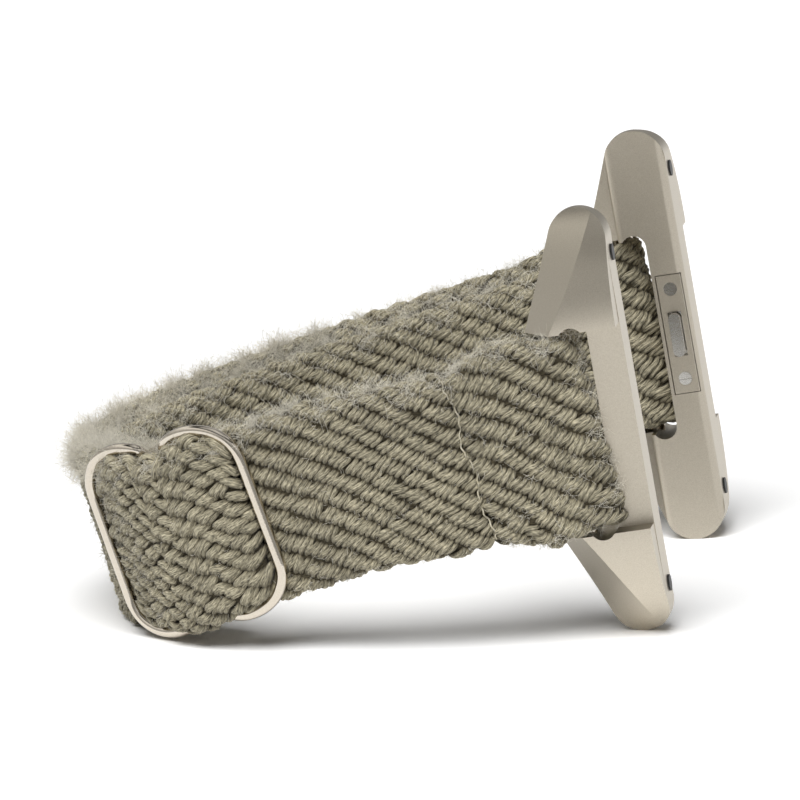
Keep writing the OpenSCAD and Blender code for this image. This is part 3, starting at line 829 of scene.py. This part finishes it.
for part, (from_q, to_q) in enumerate([(-2.4, -0.6), (-0.6, 0.6), (0.6, 2.2)]):
    fuzz_piece("bend_fuzz_" + str(part), "strap", [
        hairs(webbing, 4200, marks[2] - 5, marks[3] + 8, EDGE_Q + from_q, EDGE_Q + to_q, (0.7, 2.1),
              stand=0.3, radius=0.012),
        hairs(webbing, 1000, marks[2] - 5, marks[3] + 8, EDGE_Q + from_q, EDGE_Q + to_q, (1.4, 3.0),
              stand=0.7, radius=0.01)])
fuzz_piece("bend_side_fuzz", "strap", [
    hairs(webbing, 2600, marks[2] - 5, marks[3], -EDGE_Q, EDGE_Q - 2, (0.4, 1.2), stand=0.3),
    hairs(webbing, 1800, marks[5] + 14, marks[7], -EDGE_Q, EDGE_Q - 1.5, (0.4, 1.0), stand=0.3),
])
fuzz_piece("far_fuzz", "strap", [
    hairs(webbing, 3400, marks[3] + 2, marks[4] + 8, EDGE_Q - 1.8, EDGE_Q + 1.4, (0.6, 1.8), stand=0.3),
    hairs(webbing, 1200, marks[3], marks[4] + 8, -EDGE_Q, EDGE_Q - 2, (0.3, 0.9), stand=0.3),
])
fuzz_piece("inner_fuzz", "strap", [
    hairs(webbing, 4000, marks[5] - 6, marks[7], EDGE_Q - 1.6, EDGE_Q + 1.2, (0.6, 1.9), stand=0.3),
    hairs(webbing, 1300, marks[5] - 6, marks[5] + 14, -EDGE_Q, EDGE_Q - 1.5, (0.3, 0.9), stand=0.3),
])
fuzz_piece("slider_fuzz", "slider", [
    hairs(over_bar, 1000, 0.3, over_bar.length - 0.3, 5.2, 6.9, (0.3, 1.0), stand=0.3),
    hairs(over_bar, 1900, over_bar.length - 3.6, over_bar.length - 0.2, -6.5, 6.5, (0.3, 0.8), stand=0.2),
    hairs(over_bar, 500, 0.3, over_bar.length - 0.3, -6.9, 5.2, (0.3, 0.7), stand=0.2),
])


# Seam threads: clear stitches, pulled into the cloth

def tube(name, spine, radius, sides, material, closed=False):
    """A smooth tube along points in the loop's plane, whose frame is carried from point to point."""
    spine = np.asarray(spine, float)
    forward = np.roll(spine, -1, 0) - np.roll(spine, 1, 0) if closed else np.gradient(spine, axis=0)
    forward = unit(forward)
    side = [unit(np.cross(forward[0], [0.3, 0.2, 0.93]))]
    for ahead in forward[1:]:
        side.append(unit(side[-1] - ahead * np.dot(side[-1], ahead)))
    side = np.array(side)
    if closed:
        last = unit(side[-1] - forward[0] * np.dot(side[-1], forward[0]))
        over = np.cross(forward[0], side[0])
        slip = math.atan2(float(np.dot(last, over)), float(np.dot(last, side[0])))
        back = (-slip * np.arange(len(spine)) / len(spine))[:, None]
        side = np.cos(back) * side + np.sin(back) * np.cross(forward, side)
    over = np.cross(forward, side)
    ring = np.linspace(0, 2 * math.pi, sides, endpoint=False)
    points = (spine[:, None] + radius * np.cos(ring)[None, :, None] * side[:, None]
              + radius * np.sin(ring)[None, :, None] * over[:, None])
    return add_mesh(name, points.reshape(-1, 3), ring_quads(1, len(spine), sides, closed), material)


def seam_spine(ribbon, t_mid, half, lift, step=1.15, sway=0.22):
    """Zigzag of small stitches across the webbing, each of which dives at its ends."""
    q = np.arange(-half, half, 0.06)
    wave = np.abs(np.sin(math.pi * q / step)) * (0.72 + 0.28 * np.sin(2.3 * q + 1.0))
    t = t_mid + sway * np.sin(math.pi * q / step * 0.5) + 0.05 * np.sin(7.0 * q)
    spine, _ = ribbon.at(t, q, lift - 0.3 + 0.34 * wave)
    return spine


def seam(name, body, node, ribbon, t_mid, half, lift, radius):
    piece = tube(name, seam_spine(ribbon, t_mid, half, lift), radius, 8, clear)
    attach(piece, body)
    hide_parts(node)


seam("near_seam_stitches", "strap", "near_seam_thread", webbing, seam_t, 6.6, 0.36, 0.065)
seam("slider_seam_stitches", "slider", "slider_seam_thread", sewn_end, sewn_end.length - 0.9, 5.6, 0.1, 0.07)


# Slider wire: two round-cornered lobes that dive into the cloth towards the bar

# From the bar's end out between the lobes, as u, z and level
DIVE = [(0.0, 6.45, BAR_LEVEL), (0.2, 6.35, -1.8), (0.45, 6.15, -1.1), (0.7, 5.98, -0.4), (0.88, 5.9, 0.2),
        (1.0, 5.98, 0.7)]


def lobe_route(side):
    """One lobe from the bar's upper end round the side to its lower end, as u, z and level."""
    quarter = [(side * u, z, level) for u, z, level in DIVE]
    middle, inner = (LOBE_U, 136) if side > 0 else (LEFT_LOBE_U, 124)
    for degrees in np.linspace(inner, 0, 28):
        a = math.radians(degrees)
        dip = max(0.0, (degrees - 92) / 60) ** 2
        u = side * (middle + (SLIDER_HALF_L - middle) * math.cos(a))
        quarter.append((u, SLIDER_HALF_W - LOBE_H + LOBE_H * math.sin(a), SIDE_LEVEL - 0.9 * dip))
    top = SLIDER_HALF_W - LOBE_H
    straight = [(side * SLIDER_HALF_L, z, SIDE_LEVEL) for z in np.linspace(top - 0.4, -top + 0.4, 14)]
    return quarter + straight + [(u, -z, level) for u, z, level in reversed(quarter)]


def smoothed(points, rounds=3):
    """A closed line of points, each moved towards the middle of its neighbours."""
    points = np.asarray(points, float)
    for _ in range(rounds):
        points = 0.5 * points + 0.25 * (np.roll(points, 1, 0) + np.roll(points, -1, 0))
    return points


def wire_spine():
    """Evenly spaced points along both lobes."""
    route = lobe_route(1) + lobe_route(-1)[::-1]
    rough = np.array([slider_point(u * (RIGHT_STRETCH if u > 0 else 1.0), z, level) for u, z, level in route])
    looped = np.vstack([rough, rough[:1]])
    run = np.concatenate([[0], np.cumsum(np.linalg.norm(np.diff(looped, axis=0), axis=1))])
    even = np.linspace(0, run[-1], 260, endpoint=False)
    return smoothed(np.stack([np.interp(even, run, looped[:, k]) for k in range(3)], axis=1))


wire = tube("slider_wire", wire_spine(), WIRE_R, 28, polished, closed=True)
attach(wire, "slider")
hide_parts("slider_frame")


# Adapter bodies

def shape(points, faces):
    """A solid in the scene, for cutting and joining."""
    mesh = bpy.data.meshes.new("shape")
    mesh.from_pydata([tuple(float(c) for c in p) for p in points], [], faces)
    solid = bmesh.new()
    solid.from_mesh(mesh)
    bmesh.ops.recalc_face_normals(solid, faces=solid.faces[:])
    solid.to_mesh(mesh)
    solid.free()
    return add_object("shape", mesh)


def stacked(rings):
    """A solid from closed rings of equal length, one above the other."""
    n = len(rings[0])
    faces = [list(range(n)), [(len(rings) - 1) * n + k for k in range(n)]]
    for here in range(0, (len(rings) - 1) * n, n):
        ahead = here + n
        faces += [[here + k, here + (k + 1) % n, ahead + (k + 1) % n, ahead + k] for k in range(n)]
    return shape([p for ring in rings for p in ring], faces)


def prism(outline, order, low, high):
    """An outline in the first two axes of order, drawn out along the third."""
    places = [order.index(axis) for axis in "xyz"]
    return stacked([[[(*p, depth)[k] for k in places] for p in outline] for depth in (low, high)])


def block(low, high):
    (x0, y0, z0), (x1, y1, z1) = low, high
    return prism([(x0, y0), (x1, y0), (x1, y1), (x0, y1)], "xyz", z0, z1)


def arc(centre, r, start, end, count):
    return [(centre[0] + r * math.cos(math.radians(a)), centre[1] + r * math.sin(math.radians(a)))
            for a in np.linspace(start, end, count)]


def changed(base, tool, operation):
    change = base.modifiers.new("change", "BOOLEAN")
    change.operation = operation
    change.solver = "EXACT"
    change.object = tool
    graph = bpy.context.evaluated_depsgraph_get()
    mesh = bpy.data.meshes.new_from_object(base.evaluated_get(graph))
    base.modifiers.clear()
    old = [base.data, tool.data]
    base.data = mesh
    bpy.data.objects.remove(tool)
    for spare in old:
        bpy.data.meshes.remove(spare)
    return base


def outer_y(z):
    a = max(0.0, abs(z) - RIM_FLAT)
    return OUTER_Y + RIM_R - math.sqrt(RIM_R ** 2 - a ** 2)


def through(a, b, c, k):
    """A smooth curve through three values at k of 0, 0.5 and 1."""
    return a * (1 - k) * (1 - 2 * k) + 4 * b * k * (1 - k) + c * k * (2 * k - 1)


def wing_block(up, right, lead, back, sink=0.0):
    """Body behind a wing's faces: a bevel and the outer face, which meet in a curved ridge."""
    rings = []
    for k in np.linspace(0, 1, 33):
        z = WING_Z - 0.4 + (ADAPTER_HALF + 0.4 - WING_Z) * k
        left = through(-2.75, -0.92, 0.75, k), through(1.1, 2.0, 2.7, k) + sink
        ridge = through(-0.65, 1.9, 3.75, k), outer_y(z) + sink
        ring = [(left[0], left[1] + back), left, ridge, (right, ridge[1] - lead), (right, left[1] + back)]
        rings.append([(x, y, up * z) for x, y in ring])
    return stacked(rings)


def wing(up):
    tip = (TONGUE_X + TONGUE_W / 2, ADAPTER_HALF - TONGUE_W / 2)
    corner = arc(tip, TONGUE_W / 2, 0, 158.2, 40)
    foot = [(corner[-1][0] - (corner[-1][1] - WING_Z) * 0.4, WING_Z), (LATCH_X + 1.2, WING_Z)]
    outline = [(x, up * z) for x, z in corner + foot]
    return changed(wing_block(up, TONGUE_X + TONGUE_W, 0.0, 0.6), prism(outline, "xzy", -6, 6), "INTERSECT")


def pocket(half_w, half_l, floor):
    return block((LATCH_X - half_w, floor, -half_l), (LATCH_X + half_w, 5, half_l))


def adapter_mesh():
    x0, x1, middle = TONGUE_X, TONGUE_X + TONGUE_W, TONGUE_X + TONGUE_W / 2
    r = TONGUE_ROUND
    section = [(x0, TONGUE_Y), (x1, TONGUE_Y)] + arc((x1 - r, TONGUE_BACK - r), r, 0, 90, 12)
    section += arc((x0 + r, TONGUE_BACK - r), r, 90, 180, 12)
    body = prism(section, "xyz", -ADAPTER_HALF - 0.5, ADAPTER_HALF + 0.5)
    end = ADAPTER_HALF - TONGUE_W / 2
    stadium = arc((middle, end), TONGUE_W / 2, 0, 180, 48) + arc((middle, -end), TONGUE_W / 2, 180, 360, 48)
    body = changed(body, prism(stadium, "xzy", -6, 6), "INTERSECT")
    room = block((-10, -10, -WING_Z), (10, 10, WING_Z))
    for up in (1, -1):
        body = changed(body, wing(up), "UNION")
        room = changed(room, wing_block(up, 8, 0.6, 5, 0.02), "UNION")
    body = changed(body, room, "INTERSECT")
    rim = arc((OUTER_Y + RIM_R, RIM_FLAT), RIM_R, 90, 180, 60)
    rim += arc((OUTER_Y + RIM_R, -RIM_FLAT), RIM_R, 180, 270, 60)
    body = changed(body, prism(rim, "yzx", -8, 8), "INTERSECT")
    half = (SLOT_L - SLOT_W) / 2
    slot = arc((SLOT_X, half), SLOT_W / 2, 0, 180, 32) + arc((SLOT_X, -half), SLOT_W / 2, 180, 360, 32)
    cuts = [prism(slot, "xzy", -6, 6), block((SLOT_X - 8, -6, -WING_Z), (SLOT_X, 6, WING_Z)),
            prism(arc((0, 0), BAR_R, 0, 352.5, 48), "xyz", -BAR_HALF, BAR_HALF),
            pocket(*POCKET), pocket(*RECESS)]
    for z in (-SCREW_Z, SCREW_Z):
        cuts.append(prism(arc((LATCH_X, z), SCREW_R, 0, 350, 36), "xzy", 1.5, 3.5))
    for z in (-PAD_Z, PAD_Z):
        cuts.append(prism(arc((1.55, z), PAD_R, 0, 350, 36), "yzx", x1 - PAD_DEPTH, x1 + 1))
    for cut in cuts:
        body = changed(body, cut, "DIFFERENCE")
    mesh = body.data
    points = np.array([v.co[:] for v in mesh.vertices])
    faces = [list(f.vertices) for f in mesh.polygons]
    bpy.data.objects.remove(body)
    bpy.data.meshes.remove(mesh)
    return points, faces


def add_adapter(end, bar, mirror, points, faces):
    flipped = points * [1, -1 if mirror else 1, 1]
    placed = bar + flipped @ lean_matrix(ADAPTER_TWIST).T
    mesh = bpy.data.meshes.new(end + "adapter")
    order = [f[::-1] if mirror else f for f in faces]
    mesh.from_pydata(to_row(placed).tolist(), [], order)
    mesh.polygons.foreach_set("use_smooth", [True] * len(mesh.polygons))
    mesh.set_sharp_from_angle(angle=RIDGE_ANGLE)
    mesh.materials.append(satin)
    mesh.materials.append(polished)
    piece = add_object(end + "adapter", mesh)
    weld = piece.modifiers.new("weld", "WELD")
    weld.merge_threshold = 0.02 * MM
    edges = piece.modifiers.new("edges", "BEVEL")
    edges.width = EDGE_ROUND * MM
    edges.segments = 3
    edges.limit_method = "ANGLE"
    edges.angle_limit = RIDGE_ANGLE
    edges.harden_normals = True
    edges.material = 1
    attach(piece, end + "adapter")
    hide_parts(end + "adapter_body")


adapter_points, adapter_faces = adapter_mesh()
add_adapter("near_", NEAR_BAR, False, adapter_points, adapter_faces)
add_adapter("far_", FAR_BAR, True, adapter_points, adapter_faces)


# Small parts carried over from the frame

def soften_edges(node, width):
    """Small rounds on the edges of a machined node."""
    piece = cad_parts[node]
    weld = piece.modifiers.new("weld", "WELD")
    weld.merge_threshold = 0.004 * MM
    bevel = piece.modifiers.new("edges", "BEVEL")
    bevel.width = width * MM
    bevel.segments = 2
    bevel.limit_method = "ANGLE"
    bevel.angle_limit = NODE_EDGE_ANGLE
    bevel.harden_normals = True


def dress(node, material):
    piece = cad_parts[node]
    piece.data.materials.clear()
    piece.data.materials.append(material)
    for face in piece.data.polygons:
        face.material_index = 0


KINDS = {"strap_bar": polished, "latch_button": bright, "latch_spring": bright,
         "latch_cover": satin, "cover_screws": bright, "end_pads": nylon}
for end in ("near_", "far_"):
    for kind, material in KINDS.items():
        dress(end + kind, material)
    soften_edges(end + "latch_cover", 0.05)
    soften_edges(end + "latch_button", 0.06)
dress("slider_centre_bar", polished)


# Studio: pale floor, one wide light above the front, and a camera at the photograph's angle

FLOOR_SEEN = 1.15
AMBIENT = 0.1
KEY_FROM = (-0.08, -0.58, 1.0)
KEY_SPREAD = 44.0
KEY_STRENGTH = 3.35


def choice(tree, factor, output, low, high):
    """A colour that is low at 0 and high at 1. Each is a colour, or a node and its output."""
    node = tree.nodes.new("ShaderNodeMix")
    node.data_type = "RGBA"
    link(tree, factor, output, node, 0)
    for entry, source in ((6, low), (7, high)):
        if len(source) == 2:
            link(tree, *source, node, entry)
        else:
            node.inputs[entry].default_value = source
    return node


def grey(level):
    return level, level, level, 1


def floor_material():
    """Paper that camera, metal and glass see as white, and that keeps the object's shadow."""
    material, tree, shader = nodes_of("paper")
    tint = ramp(tree, [(0.0, (0.84, 0.84, 0.84)), (1.0, (0.9, 0.9, 0.9))])
    link(tree, object_noise(tree, 400.0), "Fac", tint, "Fac")
    rays = tree.nodes.new("ShaderNodeLightPath")
    seen = computed(tree, "MAXIMUM", rays, "Is Camera Ray", rays, "Is Glossy Ray")
    seen = computed(tree, "MAXIMUM", seen, 0, rays, "Is Transmission Ray")
    paper = choice(tree, seen, 0, (tint, "Color"), grey(FLOOR_SEEN))
    link(tree, paper, 2, shader, "Base Color")
    setting(shader, {"Roughness": 1.0, "Specular IOR Level": 0.0})
    return material


def add_floor():
    size = 3.0
    corners = [(-size, -size, 0), (size, -size, 0), (size, size, 0), (-size, size, 0)]
    mesh = bpy.data.meshes.new("floor")
    mesh.from_pydata(corners, [], [(0, 1, 2, 3)])
    mesh.materials.append(floor_material())
    floor = add_object("floor", mesh)


def add_sun(place, spread, strength):
    """A wide soft light from the direction of place. Metal reflects the room instead."""
    lamp = bpy.data.lights.new("key", "SUN")
    lamp.energy = strength
    lamp.angle = math.radians(spread)
    light = add_object("key", lamp)
    light.rotation_euler = (-Vector(place)).to_track_quat("-Z", "Y").to_euler()
    light.visible_glossy = False


def set_world():
    """Dim all round for diffuse surfaces. Metal sees a room of pale and dark bands, and camera and glass
    see white."""
    world = bpy.data.worlds.new("studio")
    bpy.context.scene.world = world
    world.use_nodes = True
    tree = world.node_tree
    back = tree.nodes["Background"]
    place = tree.nodes.new("ShaderNodeTexCoord")
    split = tree.nodes.new("ShaderNodeSeparateXYZ")
    link(tree, place, "Generated", split, "Vector")
    room = grey_ramp(tree, [(0.0, 0.6), (0.2, 0.4), (0.5, 0.7), (0.6, 1), (0.72, 1), (0.77, 0.05),
                            (0.86, 0.05), (0.92, 1), (1.0, 1)])
    link(tree, split, "Z", room, "Fac")
    turn = mapped(tree, split, "X", 0.0, 1.0, -1.0, 1.0)
    walls = ramp(tree, [(0.0, (1, 0.99, 0.96)), (0.22, (1, 0.99, 0.96)), (0.34, (0.45, 0.45, 0.45)),
                        (0.5, (0.8, 0.8, 0.8)), (0.62, (0.4, 0.4, 0.4)), (0.72, (1, 1, 1)),
                        (0.85, (0.6, 0.6, 0.6)), (1.0, (1, 1, 1))])
    link(tree, turn, "Result", walls, "Fac")
    shown = tree.nodes.new("ShaderNodeMix")
    shown.data_type = "RGBA"
    shown.blend_type = "MULTIPLY"
    shown.inputs[0].default_value = 1.0
    link(tree, room, "Color", shown, 6)
    link(tree, walls, "Color", shown, 7)
    rays = tree.nodes.new("ShaderNodeLightPath")
    shine = choice(tree, rays, "Is Glossy Ray", grey(AMBIENT), (shown, 2))
    seen = computed(tree, "MAXIMUM", rays, "Is Camera Ray", rays, "Is Transmission Ray")
    sky = choice(tree, seen, 0, (shine, 2), grey(1))
    link(tree, sky, 2, back, "Color")
    setting(back, {"Strength": 1.0})


VIEW_AZIMUTH = 9.2
VIEW_ELEVATION = 11.12
VIEW_ROLL = -3.51
VIEW_DISTANCE = 0.75864
VIEW_TARGET = (0.004542, -0.021199, 0.018681)
LENS = 474.9


def add_camera():
    azimuth, elevation = math.radians(VIEW_AZIMUTH), math.radians(VIEW_ELEVATION)
    back = Vector((math.sin(azimuth) * math.cos(elevation), -math.cos(azimuth) * math.cos(elevation),
                   math.sin(elevation)))
    right = Vector((math.cos(azimuth), math.sin(azimuth), 0))
    turned = Matrix.Rotation(math.radians(VIEW_ROLL), 3, back) @ right
    up = back.cross(turned)
    lens = bpy.data.cameras.new("camera")
    lens.lens = LENS
    lens.sensor_width = 36
    lens.clip_start = 0.05
    lens.clip_end = 20
    camera = add_object("camera", lens)
    rotation = Matrix((turned, up, back)).transposed().to_4x4()
    camera.matrix_world = Matrix.Translation(Vector(VIEW_TARGET) + back * VIEW_DISTANCE) @ rotation
    bpy.context.scene.camera = camera


add_floor()
set_world()
add_sun(KEY_FROM, KEY_SPREAD, KEY_STRENGTH)
add_camera()
bpy.context.scene.view_settings.view_transform = "Standard"
